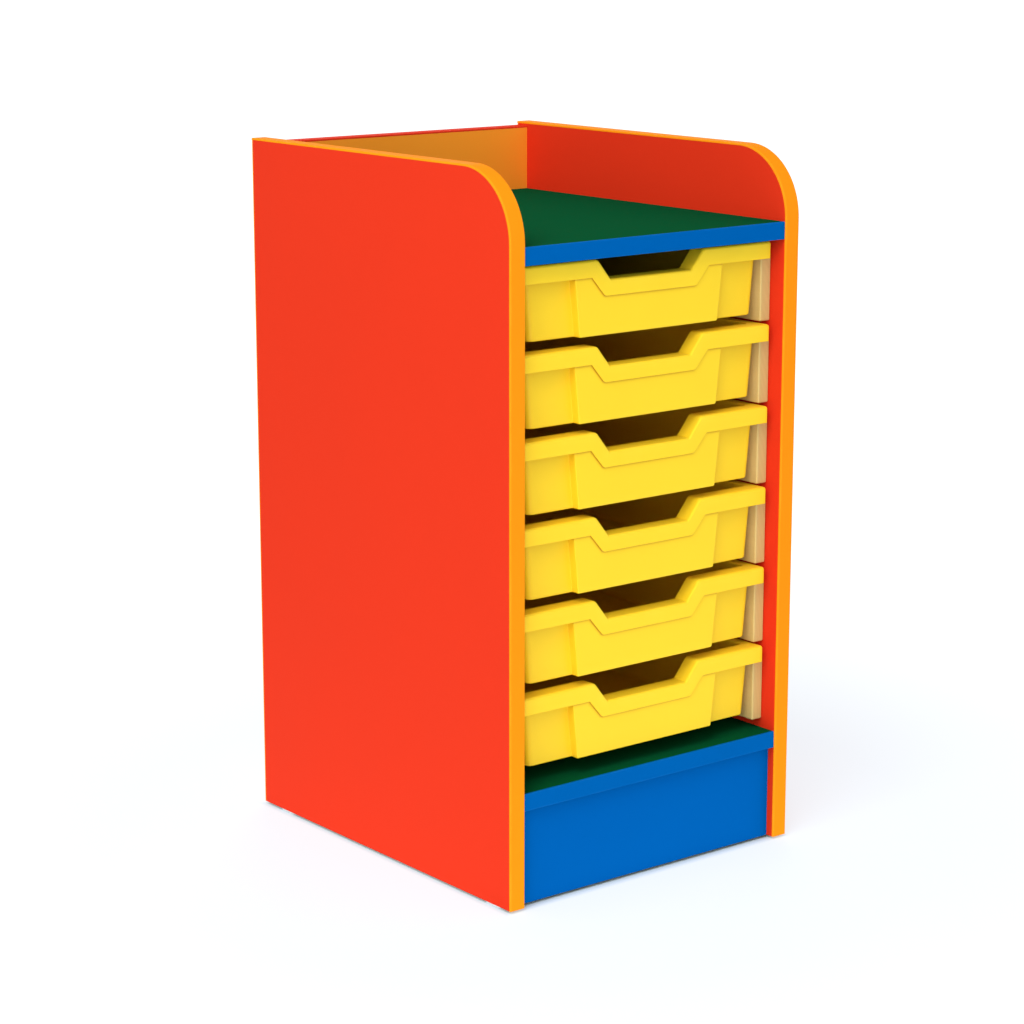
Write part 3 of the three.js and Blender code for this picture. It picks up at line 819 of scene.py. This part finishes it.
screwLow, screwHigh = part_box("right_runner_screw_1")
screwBlank = screwMesh(screwHigh.x - screwLow.x)
sinkBlank = countersinkMesh()
for side, hand in sides.items():
    for row in trayRows:
        head = runnerPiece(side, hand, row, sinkBlank)
        screwPiece(side, hand, row, screwBlank, head)
print("runners and screws built")


# glides

glide = {"edge": 0.8 * mm, "edgeSteps": 3, "stemRadius": 2.5 * mm, "stemChamfer": 0.7 * mm, "padHeight": 2.9 * mm, "steps": 48}


def glideRing(halfWidth, halfLength, middle, z):  # long round pad, or a circle where both are alike
    ring = []
    straight = halfLength - halfWidth
    for step in range(glide["steps"]):
        turn = 2 * math.pi * (step + 0.5) / glide["steps"]
        y = halfWidth * math.sin(turn) + math.copysign(straight, math.sin(turn))
        ring.append((middle.x + halfWidth * math.cos(turn), middle.y + y, z))
    return ring


def glidePiece(node):
    low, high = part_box(node)
    middle = (low + high) / 2
    halfWidth, halfLength = (high.x - low.x) / 2, (high.y - low.y) / 2
    edge, steps = glide["edge"], glide["edgeSteps"]
    top = low.z + glide["padHeight"]
    rings = []
    for step in range(steps + 1):
        turn = math.pi / 2 * step / steps
        inset, rise = edge * (1 - math.sin(turn)), edge * (1 - math.cos(turn))
        rings.append(glideRing(halfWidth - inset, halfLength - inset, middle, low.z + rise))
    rings.append(glideRing(halfWidth, halfLength, middle, top))
    stem, chamfer = glide["stemRadius"], glide["stemChamfer"]
    for radius, z in ((stem, top), (stem, high.z - chamfer), (stem - chamfer, high.z)):
        rings.append(glideRing(radius, radius, middle, z))
    form = bmesh.new()
    rows = skinOf(form, rings)
    form.faces.new(rows[0])
    form.faces.new(rows[-1])
    mesh = meshFrom(node, form)
    smooth(mesh)
    piece = newPiece(node, mesh, "carcass", "glide_plastic", [node], finishes["glidePlastic"])
    evenShading(piece)


for side in sides:
    for end in ("front", "rear"):
        glidePiece(f"glide_{side}_{end}")
print("glides built")


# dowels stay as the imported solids, with their own finish

for node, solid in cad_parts.items():
    if "_dowel" in node:
        solid.data.materials.clear()
        solid.data.materials.append(finishes["dowelBeech"])
print("dowels finished")


# trays

tray = {  # millimetres, X about the middle, Y from the rim's front, Z from the underside
    "rimHeight": 17.5,
    "rimRound": 3.0,
    "notchEdge": 2.4,  # the rim's front edge is crisper along the notch
    "rimRoundSteps": 5,
    "rimCorner": 2.5,
    "flange": 2.5,
    "skirt": 2.0,
    "skirtEdge": 0.4,
    "bodyReach": 9.0,
    "bodyDraft": 7.0,
    "frontDraft": 0.5,
    "bodyCorner": 6.0,
    "basinCorner": 5.0,
    "wall": 3.5,
    "frontWall": 8.0,
    "floor": 2.5,
    "underRound": 1.5,
    "basinRound": 4.0,
    "lipRound": 1.0,
    "bulgeTop": 196.0,
    "bulgeBottom": 180.0,
    "bulgeDepth": 9.5,
    "bulgeSetback": 1.7,
    "bulgeCorner": 1.2,
    "bulgeFillet": 0.8,
    "bulgeSkirt": 1.0,  # the skirt is thinner in front of the bulge
    "bulgeGroove": 1.0,
    "creaseReach": 3.2,  # shade below the skirt's lower edge
    "bulgeWall": 2.5,
    "notchDepth": 20.5,
    "notchLow": 105.0,
    "notchTop": 138.0,
    "skirtSpread": 7.0,
    "skirtRise": 1.5,
    "lowerFillets": (1.2, 6.0),  # radius at the rim's top and at the skirt's lower edge
    "upperFillets": (6.0, 1.5),
    "filletSteps": 5,
    "cornerSteps": 8,
}


def lerp(a, b, t):
    return a + (b - a) * t


def filletPoints(before, corner, after, radius, steps):  # (x, z) points of an arc in a corner
    before, corner, after = Vector(before), Vector(corner), Vector(after)
    toBefore, toAfter = (before - corner).normalized(), (after - corner).normalized()
    turn = math.pi - toBefore.angle(toAfter)
    reach = radius * math.tan(turn / 2)
    start, end = corner + toBefore * reach, corner + toAfter * reach
    centre = corner + (toBefore + toAfter).normalized() * (radius / math.cos(turn / 2))
    points = []
    for step in range(steps + 1):
        arm = (start - centre).lerp(end - centre, step / steps).normalized() * radius
        points.append(tuple(centre + arm))
    return points


def notchHalf(form, drop):  # right half of the notch line, drop below the rim's top
    level = drop / form["rimHeight"]
    spread = level * form["skirtSpread"]
    low, top = form["notchLow"] / 2 + spread, form["notchTop"] / 2 + spread
    z = form["height"] - drop
    lowZ = z - form["notchDepth"] + level * form["skirtRise"]
    lower, upper = lerp(*form["lowerFillets"], level), lerp(*form["upperFillets"], level)
    line = [(0.0, lowZ), (low * 0.4, lowZ), (low * 0.75, lowZ)]
    line += filletPoints((0.0, lowZ), (low, lowZ), (top, z), lower, form["filletSteps"])
    line += filletPoints((low, lowZ), (top, z), (top + 20.0, z), upper, form["filletSteps"])
    return line


def cornerXY(x, y, radius, quarter, steps):  # plan corner of a rectangle: 0 front right, 1 rear right
    inX, inY = x - radius, y + radius if quarter == 0 else y - radius
    start = -math.pi / 2 if quarter == 0 else 0.0
    return arcPoints((inX, inY), radius, start, start + math.pi / 2, steps)


def spacedXY(first, last, count):  # points strictly between two plan points
    return [tuple(lerp(a, b, (i + 1) / (count + 1)) for a, b in zip(first, last)) for i in range(count)]


def closeHalf(points):  # right half from the front middle to the rear middle, mirrored to a full ring
    left = [(-x, y, z) for x, y, z in reversed(points[1:-1])]
    return points + left


def planHalf(form, nose, beside, x, front, rear, radius):  # plan points of one right half ring
    first, second = cornerXY(x, front, radius, 0, form["cornerSteps"]), cornerXY(x, rear, radius, 1, form["cornerSteps"])
    return (nose + beside + spacedXY(beside[-1], first[0], 2) + first + spacedXY(first[-1], second[0], 3)
            + second + spacedXY(second[-1], (0.0, rear), 3) + [(0.0, rear)])


def wallRing(form, z, inset, noseDrop):  # outside of the body with its projecting middle
    lean = 1 - z / form["height"]
    front = form["bulgeSetback"] + form["frontDraft"] * lean + inset
    recess = front + form["bulgeDepth"]
    half = lerp(form["bulgeBottom"], form["bulgeTop"], z / form["height"]) / 2 - inset
    side = form["width"] / 2 - form["bodyReach"] - form["bodyDraft"] * lean - inset
    rear = form["depth"] - form["bodyReach"] - form["bodyDraft"] * lean - inset
    corner, fillet = form["bulgeCorner"], form["bulgeFillet"]
    nose = [(x, front) for x, _ in notchHalf(form, noseDrop)]
    beside = arcPoints((half - corner, front + corner), corner, -math.pi / 2, 0.0, 4)
    beside += arcPoints((half + fillet, recess - fillet), fillet, math.pi, math.pi / 2, 4)
    return planHalf(form, nose, beside, side, recess, rear, form["bodyCorner"])


def straightRing(form, drop, x, front, rear, radius):  # rim or basin, straight across the front
    nose = [(px, front) for px, _ in notchHalf(form, drop)]
    endX = lerp(form["bulgeTop"] / 2, x, 0.2)
    beside = spacedXY(nose[-1], (endX, front), 9) + [(endX, front)]
    return planHalf(form, nose, beside, x, front, rear, radius)


def rimRing(form, drop, inset):
    radius = max(form["rimCorner"] - inset, 1.0)
    return straightRing(form, drop, form["width"] / 2 - inset, inset, form["depth"] - inset, radius)


def basinRing(form, z, inset, drop=0.0):
    lean = 1 - z / form["height"]
    inside = form["bodyReach"] + form["bodyDraft"] * lean + form["wall"] + inset
    front = form["bulgeSetback"] + form["bulgeDepth"] + form["frontWall"] + form["frontDraft"] * lean + inset
    radius = max(form["basinCorner"] - min(inset, 0.0), 1.0)
    return straightRing(form, drop, form["width"] / 2 - inside, front, form["depth"] - inside, radius)


def dipZ(form, drop, count):  # heights along a half ring: the notch line, then level
    line = [z for _, z in notchHalf(form, drop)]
    return line + [form["height"] - drop] * (count - len(line))


def withZ(plan, heights):
    return [(x, y, z) for (x, y), z in zip(plan, heights)]


def trayRings(form):
    height, skirtDrop = form["height"], form["rimHeight"]
    noseCount = len(notchHalf(form, 0.0))
    bulgeCount = noseCount + 5  # the notch and the outer corner of the bulge
    flat = lambda plan, z: [(x, y, z) for x, y in plan]
    halves = []
    under = form["underRound"]
    for step in range(4):  # rounded lower edge
        turn = math.pi / 2 * step / 3
        rise = under * (1 - math.cos(turn))
        halves.append(flat(wallRing(form, rise, under * (1 - math.sin(turn)), skirtDrop), rise))
    # the wall goes up behind the skirt, to the flange beside the bulge and into a groove on it
    top = wallRing(form, height - form["flange"], 0.0, skirtDrop)
    count = len(top)
    skirtZ = dipZ(form, skirtDrop, count)
    grooveZ = [z + form["bulgeGroove"] if i < bulgeCount else height - form["flange"] for i, z in enumerate(skirtZ)]
    creaseDrop = skirtDrop + form["creaseReach"]
    halves.append([wallPoint(form, i, z, creaseDrop) for i, z in enumerate(dipZ(form, creaseDrop, count))])
    halves.append([wallPoint(form, i, z, skirtDrop) for i, z in enumerate(skirtZ)])
    halves.append([wallPoint(form, i, z, skirtDrop) for i, z in enumerate(grooveZ)])
    thick, thin = rimRing(form, skirtDrop, form["skirt"]), rimRing(form, skirtDrop, form["bulgeSkirt"])
    edge = form["skirtEdge"]
    inner = [thin[i] if i < bulgeCount else thick[i] for i in range(count)]
    halves.append(withZ(inner, grooveZ))
    halves.append(withZ(inner, [z + edge for z in skirtZ]))
    innerLow = [rimRing(form, skirtDrop, form["bulgeSkirt"] - edge)[i] if i < bulgeCount
                else rimRing(form, skirtDrop, form["skirt"] - edge)[i] for i in range(count)]
    halves.append(withZ(innerLow, skirtZ))
    halves.append(withZ(rimRing(form, skirtDrop, edge), skirtZ))
    halves.append(withZ(rimRing(form, skirtDrop - edge, 0.0), dipZ(form, skirtDrop - edge, count)))
    radii = [edgeRadius(form, i, noseCount) for i in range(count)]
    for step in range(form["rimRoundSteps"] + 1):  # rounded top edge of the rim
        turn = math.pi / 2 * step / form["rimRoundSteps"]
        fall, pull = 1 - math.sin(turn), 1 - math.cos(turn)
        halves.append([rimPoint(form, i, radius * fall, radius * pull) for i, radius in enumerate(radii)])
    lip = form["lipRound"]
    for step in range(4):  # rounded inner edge of the rim
        turn = math.pi / 2 * step / 3
        drop, inset = lip * (1 - math.cos(turn)), -lip * (1 - math.sin(turn))
        heights = [z - drop for z in dipZ(form, 0.0, count)]
        halves.append(withZ(basinRing(form, height, inset), heights))
    fillet = form["basinRound"]
    for step in range(6):  # walls of the basin, then the fillet to its floor
        turn = math.pi / 2 * step / 5
        z = form["floor"] + fillet * (1 - math.sin(turn))
        halves.append(flat(basinRing(form, z, fillet * (1 - math.cos(turn))), z))
    return [closeHalf(half) for half in halves]


def edgeRadius(form, index, noseCount):  # grows from the notch's crisp edge to the rim's soft one
    blend = (index - noseCount + form["filletSteps"] + 1) / (form["filletSteps"] + 1)
    return lerp(form["notchEdge"], form["rimRound"], min(max(blend, 0.0), 1.0))


def rimPoint(form, index, drop, inset):
    plan = rimRing(form, drop, inset)
    return (*plan[index], dipZ(form, drop, len(plan))[index])


def wallPoint(form, index, z, noseDrop):
    x, y = wallRing(form, z, 0.0, noseDrop)[index]
    return (x, y, z)


def hollowMesh(form):  # hollow of the projecting middle, open below
    wall = form["bulgeWall"]
    top = form["height"] - form["notchDepth"] - form["flange"]
    rear = form["bulgeSetback"] + form["bulgeDepth"] + form["frontWall"] - wall
    rings = []
    for z in (-form["floor"], top):
        half = lerp(form["bulgeBottom"], form["bulgeTop"], z / form["height"]) / 2 - wall
        front = form["bulgeSetback"] + wall
        rightHalf = cornerXY(half, front, wall, 0, 4) + cornerXY(half, rear, wall, 1, 4)
        ring = rightHalf + [(-x, y) for x, y in reversed(rightHalf)]
        rings.append([(x, y, z) for x, y in ring])
    work = bmesh.new()
    rows = skinOf(work, rings)
    work.faces.new(rows[0])
    work.faces.new(rows[-1])
    return meshFrom("bulge_hollow", work)


def trayBlank(form):
    work = bmesh.new()
    rings = trayRings(form)
    rows = skinOf(work, rings)
    work.faces.new(rows[0])
    work.faces.new(rows[-1])
    mesh = meshFrom("tray_blank", work)
    count = len(rings[0])
    rimFrom = len(rings) - 10 - form["rimRoundSteps"] - 1
    places = [i // count for i in range(len(mesh.vertices))]
    # the rim's rounded top edge is marked for the painted highlight and wear
    markVerts(mesh, "rubSheen", [float(rimFrom <= place <= rimFrom + form["rimRoundSteps"]) for place in places])
    markVerts(mesh, "crease", [float(5 <= place <= 8) for place in places])
    return cutAway(mesh, [hollowMesh(form)])


def trayPiece(row, blank):
    node = f"tray_{row}"
    low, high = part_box(node)
    mesh = blank.copy()
    mesh.name = node
    place = Vector(((low.x + high.x) / 2, low.y, low.z))
    mesh.transform(Matrix.Translation(place) @ Matrix.Scale(mm, 4))
    smooth(mesh)
    piece = newPiece(node, mesh, node + "_body", "tray_plastic", [node], finishes["trayPlastic"])
    evenShading(piece)


trayLow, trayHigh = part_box("tray_1")
tray["width"], tray["depth"], tray["height"] = ((trayHigh - trayLow) / mm)[:]
blankTray = trayBlank(tray)
for row in trayRows:
    trayPiece(row, blankTray)
print("trays built")


# end

print("scene built")
